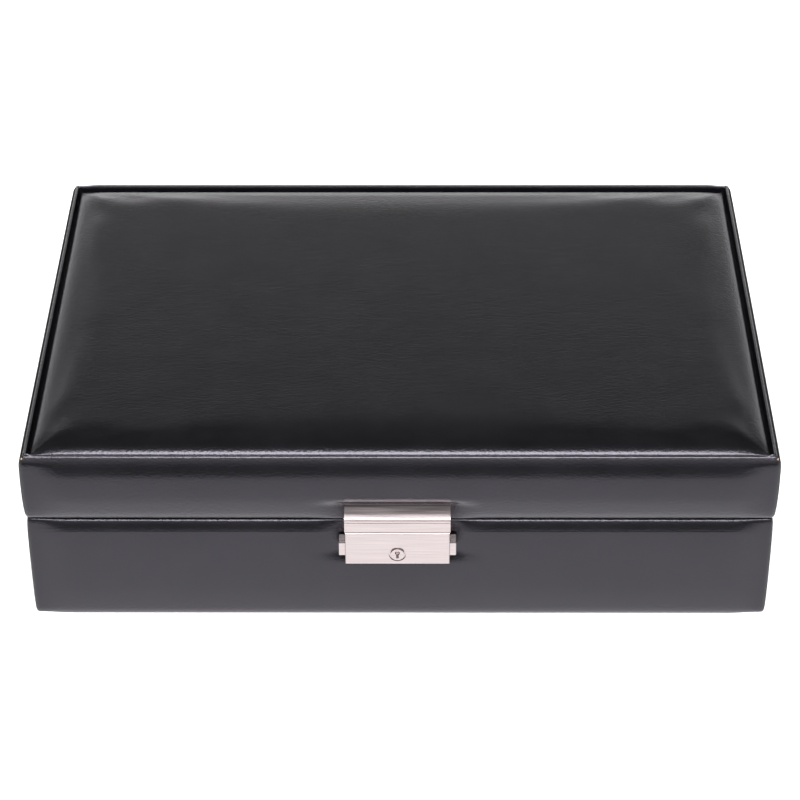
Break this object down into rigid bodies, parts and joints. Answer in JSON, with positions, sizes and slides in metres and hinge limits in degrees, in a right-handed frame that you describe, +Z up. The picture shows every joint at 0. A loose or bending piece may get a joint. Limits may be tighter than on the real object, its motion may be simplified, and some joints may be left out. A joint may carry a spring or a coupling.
{
  "type": "cufflink box with drawer",
  "caption": "Leather-covered cufflink box: a padded hinged lid over a divided tray, a lower drawer whose front is the whole front wall, and a push-button lock",
  "frame": {"origin": "centre of the underside, on the surface that the box stands on", "axes": "+Z up, the front with the lock faces -Y, +X to the right as seen from the front"},
  "size_m": [0.276, 0.2059, 0.0755],
  "materials": {
    "black_leather": "fine grain, soft sheen",
    "black_velvet": "short pile velvet",
    "foam": "foam padding",
    "felt": "pressed felt",
    "board": "raw fibreboard",
    "covered_board": "fibreboard covered in black paper",
    "satin_nickel": "satin nickel plate",
    "steel": "plain steel"
  },
  "bodies": {
    "base": {"foot_sheet": "felt", "base_board": "board", "base_side_left": "board", "base_side_right": "board", "base_back": "board", "base_leather": "black_leather", "drawer_runners": "felt", "tray_shelf": "covered_board", "tray_front_board": "board", "tray_front_velvet": "black_velvet", "tray_wall_velvet": "black_velvet", "tray_floor_pad": "black_velvet", "tray_dividers_long": "black_velvet", "tray_dividers_cross": "black_velvet", "drawer_stop_rail": "covered_board", "hinge_leaves_base": "steel", "hinge_pins": "steel", "hinge_screws_base": "steel"},
    "lid": {"lid_front_board": "board", "lid_back_board": "board", "lid_side_left": "board", "lid_side_right": "board", "lid_top_board": "board", "lid_leather": "black_leather", "lid_wall_velvet": "black_velvet", "lid_lining_pad": "black_velvet", "lid_cushion": "black_leather", "lid_cushion_foam": "foam", "catch_plate": "satin_nickel", "catch_hooks": "steel", "catch_rivets": "steel", "hinge_leaves_lid": "steel", "hinge_screws_lid": "steel"},
    "drawer": {"drawer_front_leather": "black_leather", "drawer_front_foam": "foam", "drawer_front_board": "board", "drawer_front_velvet": "black_velvet", "drawer_inner_front": "covered_board", "drawer_side_left": "covered_board", "drawer_side_right": "covered_board", "drawer_back": "covered_board", "drawer_bottom": "covered_board", "drawer_wall_velvet": "black_velvet", "drawer_floor_pad": "black_velvet", "drawer_divider_long": "black_velvet", "drawer_dividers_cross": "black_velvet", "drawer_stop_blocks": "covered_board", "drawer_screws": "steel", "lock_screws": "steel", "lock_case": "satin_nickel", "lock_back_plate": "satin_nickel", "button_spring_left": "steel", "button_spring_right": "steel"},
    "button_left": {"lock_button_left": "satin_nickel"},
    "button_right": {"lock_button_right": "satin_nickel"},
    "key_plug": {"key_plug": "satin_nickel"},
    "lock_bolt": {"lock_bolt": "steel"}
  },
  "joints": [
    {"name": "lid_hinge", "type": "hinge", "parent": "base", "child": "lid", "pos_m": [0, 0.0984, 0.045], "axis": [-1, 0, 0], "range_deg": [0, 95]},
    {"name": "drawer_slide", "type": "slide", "parent": "base", "child": "drawer", "axis": [0, -1, 0], "range_m": [0, 0.12]},
    {"name": "button_left_press", "type": "slide", "parent": "drawer", "child": "button_left", "axis": [1, 0, 0], "range_m": [0, 0.002], "stiffness_N_per_m": 300, "springref_m": -0.001, "deforming": ["button_spring_left"]},
    {"name": "button_right_press", "type": "slide", "parent": "drawer", "child": "button_right", "axis": [-1, 0, 0], "range_m": [0, 0.002], "stiffness_N_per_m": 300, "springref_m": -0.001, "deforming": ["button_spring_right"]},
    {"name": "key_turn", "type": "hinge", "parent": "drawer", "child": "key_plug", "pos_m": [-0.0008, -0.1, 0.0348], "axis": [0, 1, 0], "range_deg": [0, 90]},
    {"name": "bolt_slide", "type": "slide", "parent": "drawer", "child": "lock_bolt", "axis": [1, 0, 0], "range_m": [0, 0.0025]}
  ],
  "couplings": [
    {"joint": "key_turn", "follows": "bolt_slide", "rad_per_m": 628.32}
  ]
}
